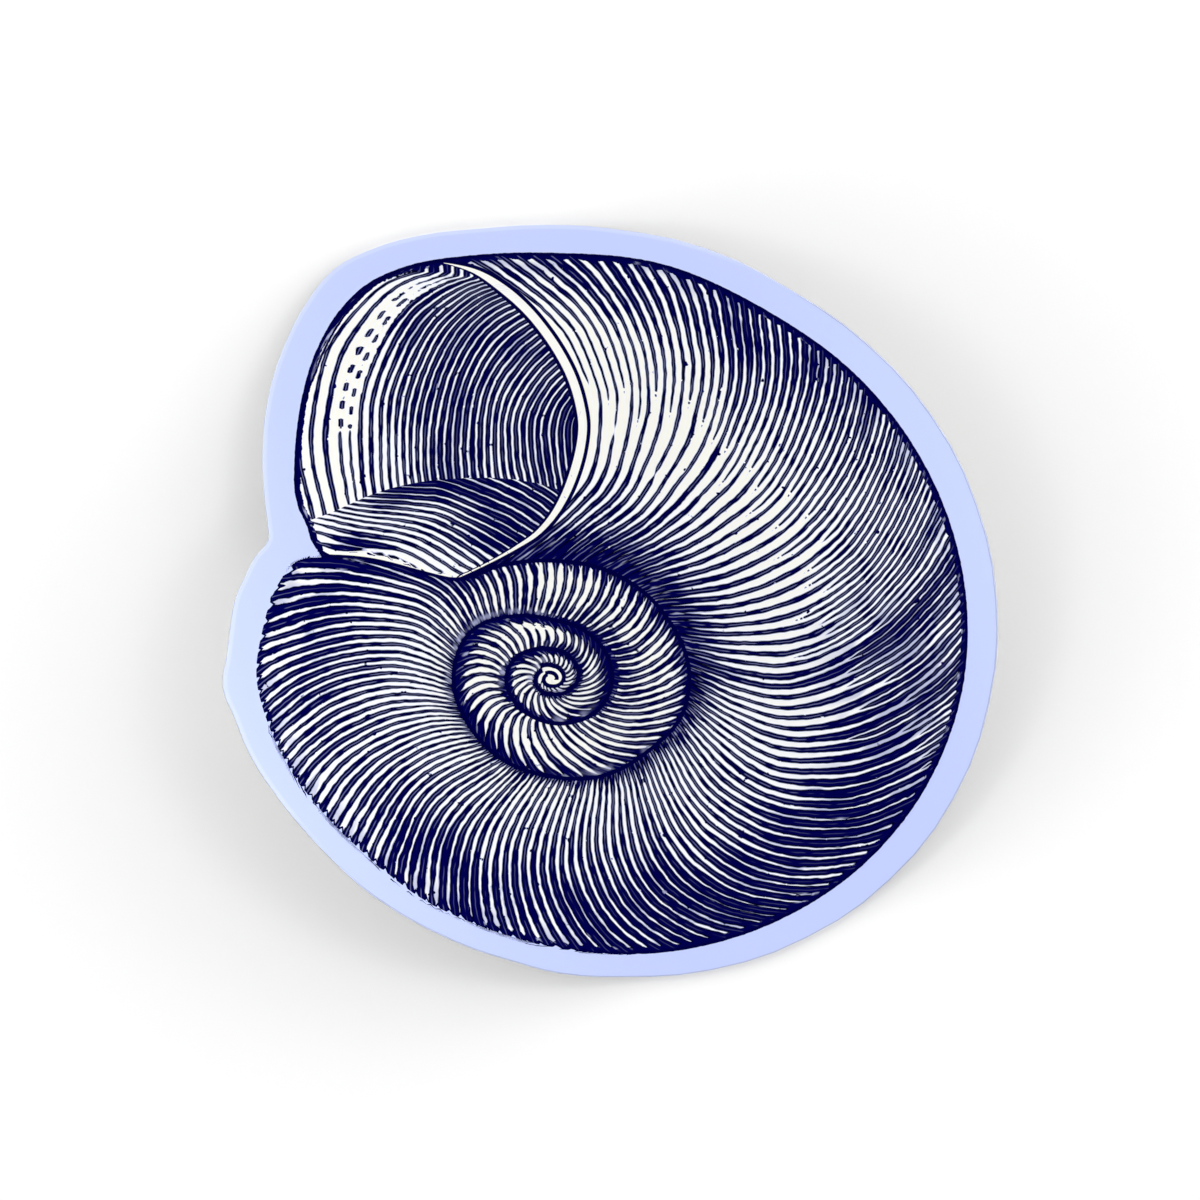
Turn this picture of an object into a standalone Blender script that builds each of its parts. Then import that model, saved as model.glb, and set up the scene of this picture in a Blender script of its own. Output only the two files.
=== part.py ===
"""Die-cut vinyl sticker lying loose: the printed vinyl film, and the release paper behind it.

Metres, +Z up, +Y towards the top of the print. The origin is at the bottom centre of the
sticker's box, on the flat strip that the sticker rests on.
"""

import math

import bmesh
import bpy
import numpy as np
from mathutils import Vector

MM = 0.001

# The two sheets, and the coat of adhesive between them
PAPER_THICK = 0.20 * MM
ADHESIVE_THICK = 0.025 * MM
FILM_THICK = 0.15 * MM

# The sheets curl up on both sides of a flat strip, which runs across the sticker at this
# angle anticlockwise from +X. Each side is an arc, folded from narrow flat facets.
STRIP_ANGLE = math.radians(113)
STRIP_HALF_WIDTH = 8 * MM
CURL_RADIUS = 80 * MM
FACET_WIDTH = 2.6 * MM
CURL_REACH = 46 * MM

# The cut line in plan: (degrees anticlockwise from +X, millimetres from the middle). It goes
# round a coiled shell's outline, with the shell's mouth at the upper left and a notch below it.
CUT_LINE = (
    (0, 43.8), (15, 42.95), (30, 42.1), (45, 41.3), (60, 40.9), (75, 41.6), (90, 42.45),
    (100, 43.55), (110, 45.15), (118, 47.15), (125, 48.7), (130, 49.35), (135, 48.8),
    (142, 47.4), (150, 45.4), (157, 43.3), (164, 41.2), (168, 40.1), (170, 39.8),
    (173, 41.0), (176.5, 42.0), (180, 43.0), (184, 43.6), (188, 44.3), (192.5, 45.4),
    (197, 45.0), (203, 44.8), (210, 44.2), (216, 43.75), (223, 43.4), (231, 43.25),
    (245, 42.75), (255, 42.6), (262, 42.85), (271, 42.85), (285, 43.55), (300, 44.3),
    (315, 44.85), (330, 44.95), (345, 44.5),
)
SEGMENTS_PER_POINT = 3

FILM_BLUE = (0.52, 0.62, 1.0, 1.0)
PAPER_WHITE = (0.83, 0.81, 0.76, 1.0)


def clear_scene():
    for obj in list(bpy.data.objects):
        bpy.data.objects.remove(obj, do_unlink=True)


def make_collection(name):
    collection = bpy.data.collections.new(name)
    bpy.context.scene.collection.children.link(collection)
    return collection


def make_material(name, colour, roughness):
    material = bpy.data.materials.new(name)
    material.use_nodes = True
    shader = material.node_tree.nodes["Principled BSDF"]
    shader.inputs["Base Color"].default_value = colour
    shader.inputs["Roughness"].default_value = roughness
    shader.inputs["Metallic"].default_value = 0.0
    return material


def cut_line_mesh():
    """A flat mesh of one face inside the cut line, centred on the origin."""
    curve = bpy.data.curves.new("cut_line", "CURVE")
    curve.dimensions = "2D"
    curve.fill_mode = "BOTH"
    curve.resolution_u = SEGMENTS_PER_POINT
    spline = curve.splines.new("BEZIER")
    spline.use_cyclic_u = True
    spline.bezier_points.add(len(CUT_LINE) - 1)
    for point, (degrees, distance) in zip(spline.bezier_points, CUT_LINE):
        angle = math.radians(degrees)
        point.co = Vector((math.cos(angle), math.sin(angle), 0)) * distance * MM
        point.handle_left_type = "AUTO"
        point.handle_right_type = "AUTO"
    guide = bpy.data.objects.new("cut_line", curve)
    bpy.context.scene.collection.objects.link(guide)
    bpy.context.view_layer.update()
    graph = bpy.context.evaluated_depsgraph_get()
    mesh = bpy.data.meshes.new_from_object(guide.evaluated_get(graph))
    bpy.data.objects.remove(guide)
    bpy.data.curves.remove(curve)

    sheet = bmesh.new()
    sheet.from_mesh(mesh)
    bmesh.ops.remove_doubles(sheet, verts=sheet.verts, dist=0.0001 * MM)
    bmesh.ops.dissolve_faces(sheet, faces=sheet.faces)
    plan = np.array([vert.co for vert in sheet.verts])
    middle = (plan.min(axis=0) + plan.max(axis=0)) / 2
    bmesh.ops.translate(sheet, verts=sheet.verts, vec=-Vector(middle))
    if next(iter(sheet.faces)).normal.z < 0:
        bmesh.ops.reverse_faces(sheet, faces=sheet.faces)
    sheet.to_mesh(mesh)
    sheet.free()
    return mesh


def fold_lines():
    """Distances of the fold lines from the strip's middle, and the curl's height at each."""
    count = math.ceil((CURL_REACH - STRIP_HALF_WIDTH) / FACET_WIDTH)
    outward = np.linspace(0, CURL_REACH - STRIP_HALF_WIDTH, count + 1)
    height = CURL_RADIUS - np.sqrt(CURL_RADIUS**2 - outward**2)
    distance = outward + STRIP_HALF_WIDTH
    distances = np.concatenate([-distance[::-1], distance])
    heights = np.concatenate([height[::-1], height])
    return distances, heights


def curl(mesh):
    """Fold the flat sheet along lines parallel to its flat strip, so that it curls up."""
    across = Vector((math.sin(STRIP_ANGLE), -math.cos(STRIP_ANGLE), 0))
    distances, heights = fold_lines()
    sheet = bmesh.new()
    sheet.from_mesh(mesh)
    for distance in distances:
        everything = list(sheet.verts) + list(sheet.edges) + list(sheet.faces)
        bmesh.ops.bisect_plane(
            sheet, geom=everything, dist=0.0001 * MM, plane_co=across * distance, plane_no=across
        )
    for vert in sheet.verts:
        vert.co.z = np.interp(vert.co.dot(across), distances, heights)
    sheet.to_mesh(mesh)
    sheet.free()


def add_sheet(name, mesh, collection, material, height, thickness):
    """A closed sheet of this thickness, whose underside is this high above the curled mesh."""
    obj = bpy.data.objects.new(name, mesh.copy())
    obj.data.name = name
    obj.data.materials.append(material)
    collection.objects.link(obj)
    if height > 0:
        lift = obj.modifiers.new("Lift", "DISPLACE")
        lift.direction = "NORMAL"
        lift.mid_level = 0.0
        lift.strength = height
    wall = obj.modifiers.new("Thickness", "SOLIDIFY")
    wall.thickness = thickness
    wall.offset = 1.0
    wall.use_even_offset = True
    return obj


def main():
    clear_scene()
    sticker = make_collection("die_cut_sticker")
    mesh = cut_line_mesh()
    curl(mesh)
    paper = make_material("release paper", PAPER_WHITE, 0.6)
    film = make_material("printed vinyl", FILM_BLUE, 0.35)
    add_sheet("backing_paper", mesh, sticker, paper, 0.0, PAPER_THICK)
    add_sheet("vinyl_film", mesh, sticker, film, PAPER_THICK + ADHESIVE_THICK, FILM_THICK)
    bpy.data.meshes.remove(mesh)


main()
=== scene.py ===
"""Die-cut vinyl sticker: the printed film and its release paper, laid out as a Blender add-on."""

import math

import bmesh
import bpy
import numpy as np
from bpy.props import FloatProperty, FloatVectorProperty, PointerProperty
from bpy.types import Operator, Panel, PropertyGroup
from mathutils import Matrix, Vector


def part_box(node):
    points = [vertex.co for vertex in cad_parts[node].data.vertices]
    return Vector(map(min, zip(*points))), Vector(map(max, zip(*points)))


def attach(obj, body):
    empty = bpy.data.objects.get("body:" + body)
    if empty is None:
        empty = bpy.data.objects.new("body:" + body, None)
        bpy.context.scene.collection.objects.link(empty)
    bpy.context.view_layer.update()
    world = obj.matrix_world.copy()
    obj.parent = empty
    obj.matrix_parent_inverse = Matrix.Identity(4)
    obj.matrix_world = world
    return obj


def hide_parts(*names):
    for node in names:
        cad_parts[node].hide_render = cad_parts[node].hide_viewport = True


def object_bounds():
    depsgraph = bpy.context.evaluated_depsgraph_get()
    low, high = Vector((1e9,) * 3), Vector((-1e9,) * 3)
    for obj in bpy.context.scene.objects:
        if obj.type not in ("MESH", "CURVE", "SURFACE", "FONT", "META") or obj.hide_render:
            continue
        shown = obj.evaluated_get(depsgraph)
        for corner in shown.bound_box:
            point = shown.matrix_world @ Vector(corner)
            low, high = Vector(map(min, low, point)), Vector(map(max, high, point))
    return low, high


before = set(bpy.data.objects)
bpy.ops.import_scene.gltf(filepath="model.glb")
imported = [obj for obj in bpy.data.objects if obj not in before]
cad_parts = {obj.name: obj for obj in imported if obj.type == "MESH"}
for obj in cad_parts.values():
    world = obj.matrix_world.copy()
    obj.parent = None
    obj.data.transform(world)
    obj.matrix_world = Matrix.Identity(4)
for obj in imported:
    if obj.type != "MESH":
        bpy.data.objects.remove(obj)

bl_info = {
    "name": "Die-cut sticker",
    "version": (1, 0, 0),
    "blender": (4, 5, 0),
    "location": "3D View > Sidebar > Sticker",
    "description": "Adds a curled die-cut sticker with an engraved shell print and its release paper",
    "category": "Add Mesh",
}

MM = 0.001
CAD_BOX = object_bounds()

# How both sheets curl, as the frame's sheets do: a flat strip across the sticker at this
# angle anticlockwise from +X, and an arc on each side of it.
STRIP_ANGLE = math.radians(113)
STRIP_HALF_WIDTH = 8 * MM
CURL_RADIUS = 80 * MM

WELD = 0.0001 * MM                # points nearer to each other than this become one
CUT_TOLERANCE = 0.001 * MM
CHAMFER_SHARE = 0.45              # of the sheet's thickness
CHAMFER_ANGLE = math.radians(60)  # sharper edges are chamfered
SMOOTH_ANGLE = math.radians(30)   # blunter edges are shaded smooth
FACING = 0.5                      # faces whose normals rise or fall more are top or underside
TOP_SLOT = 0
EDGE_SLOT = 1
UNDERSIDE_SLOT = 2
MAP_SHARE = 0.99                  # of the bake map's square
DARK_GRAIN = 0.92                 # of the paper's own colour

FLOOR_SIZE = 4.0                  # metres
FLOOR_COLOUR = (0.9, 0.9, 0.9, 1)
OVERHEAD_ANGLE = math.radians(6)  # how wide the overhead light looks from the sticker
VIEW_MIDDLE = (-1.197, 0.114)     # millimetres
VIEW_END = 10.0                   # metres from the camera
SENSOR_WIDTH = 36.0


# -------------------- the printed shell's drawing
# The print is an engraver's drawing of a coiled snail shell. It is worked out here in
# millimetres on the sticker's plan. The coil's edge is one curve that winds outwards
# anticlockwise round COIL_MIDDLE: first it is the suture between the whorls, then the lower
# edge of the mouth, and for its last turn the shell's outline. "Turned" is the angle along it
# in degrees, which goes on past 360, and a whorl lies between the edge at one turned angle and
# the edge a full turn later.

COIL_MIDDLE = (-6.8, -8.9)
GROWTH_PER_TURN = 2.15
FULL_TURN = 360.0

COIL_EDGE = (
    (-590, 1.4), (-535, 1.8), (-480, 1.75), (-435, 1.8), (-395, 2.4), (-355, 3.2),
    (-310, 3.35), (-270, 3.45), (-240, 3.9), (-210, 4.7), (-180, 5.1), (-150, 4.9),
    (-120, 4.75), (-90, 5.0), (-60, 5.6), (-30, 6.5), (0, 7.0), (30, 6.9), (60, 6.7),
    (90, 6.8), (120, 8.3), (150, 10.6), (180, 11.1), (210, 10.7), (240, 10.7), (270, 11.1),
    (300, 12.6), (325, 13.9), (345, 15.5), (360, 15.8), (390, 14.9), (420, 14.0),
    (450, 13.5), (475, 14.2), (490, 15.1), (494, 15.8), (501, 19.6), (507, 25.2), (512, 29.7),
    (514.5, 31.6), (518, 32.5), (522, 33.0), (530, 33.3), (540, 33.5), (548, 32.7), (560, 31.3),
    (572, 29.9), (585, 29.0), (600, 29.0), (615, 29.3), (630, 30.5), (645, 32.5),
    (660, 35.1), (675, 38.2), (690, 41.6), (705, 44.7), (720, 47.1), (735, 48.5),
    (750, 49.1), (765, 49.1), (780, 48.7), (795, 49.0), (810, 48.6), (820, 49.1),
    (830, 49.9), (835, 49.7), (840, 48.4), (845, 46.3), (850, 43.7), (855, 40.9),
    (860, 38.2), (865, 35.5), (870, 31.6), (873, 32.4),
)
COIL_END = COIL_EDGE[-1][0]
TURNS = 5                 # from the innermost suture to the outline
TURNS_BEFORE_ZERO = 3
APEX_RADIUS = 0.3         # millimetres, within which a probe's angle no longer grows
OUTLINE_STEP = 2.0        # degrees between two points of the outline
MOUTH_FOOT = 494.0        # turned angle where the lip meets the suture
MOUTH_BACK = 512.0        # turned angle where the mouth's lower edge meets the outline
LIP_TOP = 466.0           # turned angle at the top of the lip

# Where the mouth covers the last whorl but one, that whorl's own edge lies hidden under it.
HIDDEN_EDGE = (
    (425, 13.9), (440, 14.0), (455, 15.3), (470, 18.0), (485, 22.2), (497, 26.4), (507, 29.8),
    (514.5, 31.6),
)

# The outer edge of the mouth's lip, in millimetres, from the outline down to its tip.
LIP = (
    (-20.6, 38.9), (-18.0, 38.6), (-15.1, 37.9), (-12.0, 36.2), (-9.1, 33.7), (-7.0, 31.2),
    (-5.2, 28.5), (-3.8, 25.7), (-2.9, 22.8), (-2.5, 20.1), (-2.8, 17.2), (-3.6, 14.3),
    (-4.7, 11.7), (-6.3, 9.2), (-8.3, 7.2), (-10.4, 5.9), (-12.4, 4.8), (-14.6, 3.7), (-17.2, 2.5),
)
LIP_POINTS = 90
LIP_WIDTHS = (0.20, 1.35, 0.40)    # millimetres at the outline, along the lip and at its tip

# The growth lines cross the whorl on a curve like a bracket. For the line that stands at this
# turned angle: how far it is swept forward at the inner edge, the power of that sweep, where
# across the whorl it stands upright, the sweep at the outer edge, and the power of that one.
LINE_SWEEP = (
    (-900, 0, 2.0, 0.05, 45, 1.3),
    (-540, 8, 2.0, 0.20, 22, 1.4),
    (-450, 0, 2.0, 0.05, 46, 1.2),
    (-360, 0, 2.0, 0.05, 34, 1.3),
    (-270, 8, 2.0, 0.40, 10, 1.6),
    (-180, 5, 2.0, 0.35, 12, 1.8),
    (-100, 0, 2.0, 0.05, 32, 1.1),
    (-30, 0, 2.0, 0.05, 22, 1.2),
    (48, 6, 1.8, 0.50, 4, 1.6),
    (105, 8, 1.8, 0.50, 4, 1.6),
    (130, 7, 2.0, 0.35, 8, 1.5),
    (158, 7, 2.2, 0.27, 14.5, 1.3),
    (201, 9, 2.6, 0.38, 9, 1.45),
    (230, 10, 2.4, 0.45, 8, 1.6),
    (260, 11, 2.2, 0.48, 8, 1.8),
    (300, 12, 1.9, 0.48, 12, 2.2),
    (330, 11, 2.0, 0.42, 15, 2.0),
    (360, 9, 2.0, 0.32, 18, 1.5),
    (380, 11, 2.1, 0.37, 15, 1.7),
    (400, 14, 2.3, 0.42, 11, 1.8),
    (425, 25, 2.8, 0.38, 15, 1.9),
    (441, 42, 2.9, 0.365, 22, 1.9),
    (520, 44, 2.9, 0.365, 23, 1.9),
)

# Millimetres between growth lines, at this place across the whorl.
MID_WHORL = 0.45
LINE_SPACING = (
    (-900, 0.50), (-540, 0.72), (-360, 0.92), (-270, 1.00), (-180, 0.92), (-120, 1.10),
    (-90, 1.20), (-40, 1.10), (0, 1.10), (30, 0.98), (75, 0.98), (110, 1.15), (150, 1.04),
    (190, 0.92), (225, 0.96), (270, 1.04), (325, 1.04), (345, 1.18), (365, 1.45), (400, 1.58),
    (440, 1.60), (470, 1.50), (520, 1.50),
)
LINE_RANGE = (-900.0, 540.0)       # turned angles between which the lines are counted
LINE_STEP = 4.0                    # degrees

# For each turned angle, the share of ink at four places across the whorl.
SHADE_PLACES = (0.15, 0.45, 0.72, 0.92)
WHORL_SHADE = (
    (-700, 0.60, 0.50, 0.62, 0.85),
    (-600, 0.60, 0.50, 0.62, 0.85),
    (-540, 0.60, 0.52, 0.62, 0.88),
    (-400, 0.60, 0.44, 0.90, 0.95),
    (-350, 0.80, 0.50, 0.98, 1.00),
    (-300, 0.96, 0.60, 0.62, 0.95),
    (-265, 0.70, 0.42, 0.14, 0.86),
    (-225, 0.68, 0.62, 0.40, 0.80),
    (-180, 0.58, 0.40, 0.44, 0.84),
    (-150, 0.64, 0.42, 0.64, 0.86),
    (-110, 0.56, 0.44, 0.68, 0.84),
    (-75, 0.62, 0.52, 0.74, 0.76),
    (-20, 0.76, 0.58, 0.56, 0.68),
    (15, 0.80, 0.54, 0.54, 0.74),
    (45, 0.76, 0.54, 0.60, 0.78),
    (70, 0.72, 0.58, 0.50, 0.78),
    (95, 0.66, 0.36, 0.46, 0.80),
    (130, 0.58, 0.82, 0.98, 0.68),
    (150, 0.56, 0.62, 0.82, 0.74),
    (165, 0.50, 0.60, 0.74, 0.66),
    (195, 0.50, 0.62, 0.61, 0.52),
    (225, 0.52, 0.59, 0.76, 0.64),
    (255, 0.54, 0.62, 0.79, 0.73),
    (285, 0.52, 0.63, 0.83, 0.81),
    (315, 0.50, 0.60, 0.85, 0.82),
    (345, 0.46, 0.49, 0.79, 0.76),
    (375, 0.44, 0.46, 0.61, 0.69),
    (405, 0.42, 0.29, 0.56, 0.76),
    (432, 0.46, 0.28, 0.34, 0.68),
    (450, 0.42, 0.26, 0.20, 0.54),
    (520, 0.36, 0.26, 0.24, 0.54),
)
BEYOND_WHORL = 0.15       # how far past its edges a whorl is drawn, as a share of its width

# How far in millimetres the strokes stay swollen outside the suture and inside it.
SUTURE_SHADE = (
    (-900, 0.1, 0.1), (-540, 0.3, 0.3), (-360, 0.4, 0.4), (-270, 0.2, 0.5), (-210, 0.3, 0.6),
    (-180, 0.7, 0.5), (-140, 0.3, 0.4), (-90, 0.1, 0.4), (-50, 0.2, 0.4), (-20, 0.5, 0.5),
    (0, 0.6, 0.6), (60, 0.4, 0.7), (120, 0.5, 0.9), (165, 0.7, 1.0), (190, 0.6, 0.6), (240, 0.4, 0.3),
    (280, 0.5, 0.25), (310, 0.8, 0.22), (340, 1.3, 0.25), (370, 2.2, 0.35), (400, 3.2, 0.25),
    (440, 3.2, 0.12), (475, 0.9, 0.12), (490, 0.25, 0.2), (520, 0.3, 0.2),
)

# Secondary lines come in midway between the growth lines outside this place across the whorl.
# The other number is how long their points are, in millimetres.
SECOND_LINES = (
    (-900, 2.0, 1.0), (-30, 2.0, 1.0), (30, 1.0, 1.0), (60, 0.90, 1.0), (110, 0.80, 1.6),
    (150, 1.0, 2.5), (180, 1.3, 3.0), (320, 1.3, 3.0), (345, 0.70, 3.0), (360, 0.50, 4.0),
    (400, 0.48, 4.0), (430, 0.48, 4.0), (450, 0.50, 4.0), (520, 0.50, 4.0),
)

# Darker growth marks: turned angle, half width in degrees, added ink.
GROWTH_MARKS = ((193, 1.6, 0.10), (241, 1.2, 0.10), (302, 2.2, 0.14), (359, 2.0, 0.24),
                (413, 1.3, 0.14), (428, 1.0, 0.14), (62, 3.0, 0.12))

# The wall inside the mouth: lines that rise from the shelf and bend over to the right.
WALL_LEVEL = 18.6
WALL_LEAN = 0.0167
WALL_REACH = 13.6
WALL_RISE = ((-36.0, 19.4), (-20.0, 16.5), (-9.5, 11.6), (-4.0, 9.5))
WALL_FIRST = 0.52
WALL_SPACING = ((-37.0, 1.45), (-33.6, 1.45), (-31.4, 1.75), (-30.0, 1.00), (-28.6, 1.15),
                (-27.5, 1.22), (-26.0, 1.00), (-24.0, 0.88), (-18.0, 0.88), (-4.0, 0.80))
WALL_SHADE = (
    (-37.0, 0.30), (-35.3, 0.38), (-34.0, 0.40), (-31.5, 0.34), (-31.4, 0.12), (-29.1, 0.12),
    (-29.0, 0.50), (-27.0, 0.54), (-25.0, 0.64), (-22.0, 0.74), (-18.0, 0.76), (-15.0, 0.70),
    (-10.0, 0.72), (-7.0, 0.78), (-4.0, 0.90),
)

# The shelf at the foot of the mouth, between these two curves.
SHELF_TOP = ((-36.0, 8.6), (-32.0, 10.0), (-30.0, 10.9), (-27.0, 12.2), (-22.0, 13.5),
             (-16.6, 14.0), (-11.4, 13.9), (-7.5, 13.2), (-4.5, 12.2), (-2.0, 11.2))
SHELF_FOOT = ((-34.0, 5.6), (-33.0, 5.2), (-28.0, 5.1), (-26.0, 4.8), (-24.0, 4.0), (-22.0, 3.2),
              (-20.0, 2.7), (-17.2, 2.4), (-12.0, 1.0))

# Its lines run from the left and bend down to the right. Each is named by its height at x = -20.
# How far a line stands above that height along x, and the share of that bend that a line
# takes on its left and on its right.
SHELF_BEND = ((-36.0, 2.9), (-30.0, 2.0), (-24.0, 1.2), (-20.0, 0.0), (-16.0, -2.0),
              (-12.0, -4.7), (-8.0, -8.1), (-4.0, -12.0), (0.0, -16.0))
SHELF_BEND_SHARE = ((0.0, 1.7, 1.2), (5.5, 1.45, 1.15), (7.5, 1.1, 1.08), (9.5, 0.7, 0.9),
                    (12.0, 0.25, 0.74), (14.0, 0.1, 0.7), (20.0, 0.1, 0.7))
SHELF_SPACING = ((0.0, 1.5), (4.4, 1.15), (8.0, 0.97), (12.0, 0.92), (14.0, 1.08), (20.0, 1.15))

PROBE = 0.1                 # millimetres between two places where a drawing is compared
SPACING_RANGE = (0.2, 2.5)  # least and most millimetres between lines
TINY = 1e-6


def smooth(knots, x, column=1):
    """Values at x on the smooth curve through the knots, held level beyond both ends."""
    table = np.array(knots, float)
    places = table[:, 0]
    values = table[:, column]
    slopes = np.gradient(values, places)
    first = np.clip(np.searchsorted(places, x) - 1, 0, len(places) - 2)
    step = places[first + 1] - places[first]
    t = np.clip((x - places[first]) / step, 0.0, 1.0)
    rise = values[first + 1] - values[first]
    start = slopes[first] * step
    end = slopes[first + 1] * step
    bend = t * (1 - t) * (start * (1 - t) - end * t)
    return values[first] + rise * t * t * (3 - 2 * t) + bend


def smooth_columns(knots, x):
    """Values at x on the smooth curves of every column of the knots."""
    return [smooth(knots, x, column) for column in range(1, len(knots[0]))]


def step_up(x, low, high):
    """0 below low, 1 above high, and a smooth rise between them."""
    t = np.clip((x - low) / (high - low), 0.0, 1.0)
    return t * t * (3 - 2 * t)


def step_down(x, low, high):
    """1 below low, 0 above high, and a smooth fall between them."""
    return step_up(-x, -high, -low)


def mound(x, y, middle, half_widths):
    """1 at the middle, falling away smoothly all round it."""
    return np.exp(-((x - middle[0]) / half_widths[0]) ** 2 - ((y - middle[1]) / half_widths[1]) ** 2)


def running_total(steps):
    """The sum of the steps before each place, from 0."""
    return np.concatenate([[0.0], np.cumsum(steps)])


def settle(guess, better, share, rounds=16):
    """Move a guess this share of the way to a better one, round after round."""
    for _ in range(rounds):
        guess = guess + share * (better(guess) - guess)
    return guess


def count_lines(place, spacing_table, low, high, step):
    """How many lines there are from low up to this place, by the table of their spacing."""
    ends = np.arange(low, high, step)
    return np.interp(place, ends, running_total(step / smooth(spacing_table, ends[1:])))


def coil_edge(turned):
    """Distance in millimetres of the coil's edge from its middle."""
    first = COIL_EDGE[0][0]
    turns_in = np.ceil(np.maximum(0.0, first - turned) / FULL_TURN)
    return smooth(COIL_EDGE, turned + turns_in * FULL_TURN) / GROWTH_PER_TURN**turns_in


def whorl_edge(turned):
    """Distance from the coil's middle to the outer edge of the whorl at this turned angle."""
    following = np.minimum(turned + FULL_TURN, COIL_END)
    is_hidden = (following > HIDDEN_EDGE[0][0]) & (following < HIDDEN_EDGE[-1][0])
    return np.where(is_hidden, smooth(HIDDEN_EDGE, following), coil_edge(following))


def sweep(line, across):
    """Degrees by which a growth line has swept forward at this place across the whorl."""
    inner, inner_power, upright, outer, outer_power = smooth_columns(LINE_SWEEP, line)
    before = np.maximum(0.0, 1 - across / upright) ** inner_power
    past = np.clip((across - upright) / (1 - upright), 0.0, 1.3) ** outer_power
    return inner * before + outer * past


def growth_line(turned, across):
    """The growth line through a place in a whorl, named by the angle where it stands upright."""
    halfway = turned - sweep(turned, across) / 2
    return settle(halfway, lambda line: turned - sweep(line, across), 0.4, rounds=14)


def growth_line_number(line):
    """How many growth lines there are up to this one."""
    ends = np.arange(*LINE_RANGE, LINE_STEP)
    inner = coil_edge(ends)
    middle = inner + MID_WHORL * (whorl_edge(ends) - inner)
    per_degree = np.radians(middle) / smooth(LINE_SPACING, ends)
    return np.interp(line, ends, running_total((per_degree[1:] + per_degree[:-1]) / 2 * LINE_STEP))


def whorl_drawing(turned, radius):
    """Line number, place along the line in millimetres, share of ink and secondary lines."""
    inner = coil_edge(turned)
    wide = whorl_edge(turned) - inner
    across = np.clip((radius - inner) / wide, -BEYOND_WHORL, 1 + BEYOND_WHORL)
    line = growth_line(turned, across)
    ink, *shades = smooth_columns(WHORL_SHADE, line)
    for shade, low, high in zip(shades, SHADE_PLACES, SHADE_PLACES[1:]):
        ink += (shade - ink) * step_up(across, low, high)
    for place, half_width, added in GROWTH_MARKS:
        ink += added * np.exp(-((line - place) / half_width) ** 2)
    begins, point = smooth_columns(SECOND_LINES, line)
    second = (across - begins) * wide / point
    return growth_line_number(line), radius - inner, ink, second


def wall_drawing(x, y):
    """Line number, place along the line and share of ink on the wall inside the mouth."""
    above = np.maximum(0.0, y - WALL_LEVEL)
    below = np.maximum(0.0, WALL_LEVEL - y)
    foot = x - WALL_LEAN * below**2

    def bent_back(start):
        share = np.clip(above / smooth(WALL_RISE, start), 0.0, 0.995)
        return foot - WALL_REACH * (1 - np.sqrt(1 - share**2))

    start = settle(foot, bent_back, 0.5)
    ink = np.interp(start, *zip(*WALL_SHADE))
    # The lines past the row of dots thicken where they bend over and below the mouth's top.
    past_dots = step_up(start, -29.2, -28.6)
    bent_over = step_up(x - start, 2.0, 5.0) * past_dots
    bent_over = np.maximum(bent_over, step_up(y, 36.0, 37.5) * step_up(x, -25.5, -23.0))
    ink += np.maximum(0.0, 0.74 - ink) * bent_over
    # One patch is darker. Near the shelf every line is whole, and some are thinner.
    ink += 0.12 * mound(x, y, (-23.5, 31.5), (3.5, 5.0)) * step_up(start, -29.1, -28.6)
    ink += np.maximum(0.0, 0.34 - ink) * step_down(y, 18.5, 20.0)
    ink -= 0.16 * step_up(x, -27.5, -25.5) * step_down(x, -22.5, -19.5) * step_down(y, 18.0, 21.0)
    return count_lines(start, WALL_SPACING, -60.0, 10.0, 0.5) + WALL_FIRST, y, ink


def shelf_drawing(x, y):
    """Line number, place along the line and share of ink on the shelf below the wall."""
    bend = smooth(SHELF_BEND, x)

    def straightened(height):
        left, right = smooth_columns(SHELF_BEND_SHARE, height)
        return y - bend * np.where(bend > 0, left, right)

    height = settle(y, straightened, 0.4)
    # Darker to the right, under the top edge and in one patch.
    ink = 0.57 + 0.26 * step_up(x, -22.0, -12.0)
    near_top = step_up(y - smooth(SHELF_TOP, x), -3.5, -1.0) * step_down(x, -20.0, -12.0)
    ink += 0.38 * near_top * step_up(x, -29.0, -24.0)
    ink += 0.38 * mound(x, y, (-28.5, 6.2), (3.0, 1.2))
    # Lighter at the left end and low down, and blank along the foot.
    ink *= 0.5 + 0.5 * step_up(x, -34.0, -30.5)
    ink -= 0.24 * step_down(y, 4.5, 7.0) * step_up(x, -26.0, -23.0)
    ink *= step_up(y - smooth(SHELF_FOOT, x), 0.35, 0.7)
    return count_lines(height, SHELF_SPACING, -10.0, 30.0, 0.25), x, ink


def spacing(drawing, first, second, first_step):
    """Millimetres between the lines of a drawing at each place.

    The step is how far the first coordinate changes over the length of the probe.
    """
    number = drawing(first, second)[0]
    across = drawing(first + first_step, second)[0] - number
    onward = drawing(first, second + PROBE)[0] - number
    return np.clip(PROBE / np.maximum(np.hypot(across, onward), TINY), *SPACING_RANGE)


def polar(turned, radius):
    """Points on the plan, in millimetres, from turned angle and distance from the middle."""
    angle = np.radians(turned)
    x = COIL_MIDDLE[0] + radius * np.cos(angle)
    y = COIL_MIDDLE[1] + radius * np.sin(angle)
    return np.stack([x, y], axis=-1)


def lip_curve():
    """The outer edge of the mouth's lip, from the outline down to its tip."""
    knots = np.array(LIP)
    places = running_total(np.hypot(*np.diff(knots, axis=0).T))
    table = np.column_stack([places, knots])
    along = np.linspace(0.0, places[-1], LIP_POINTS)
    return np.stack(smooth_columns(table, along), axis=-1)


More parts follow.
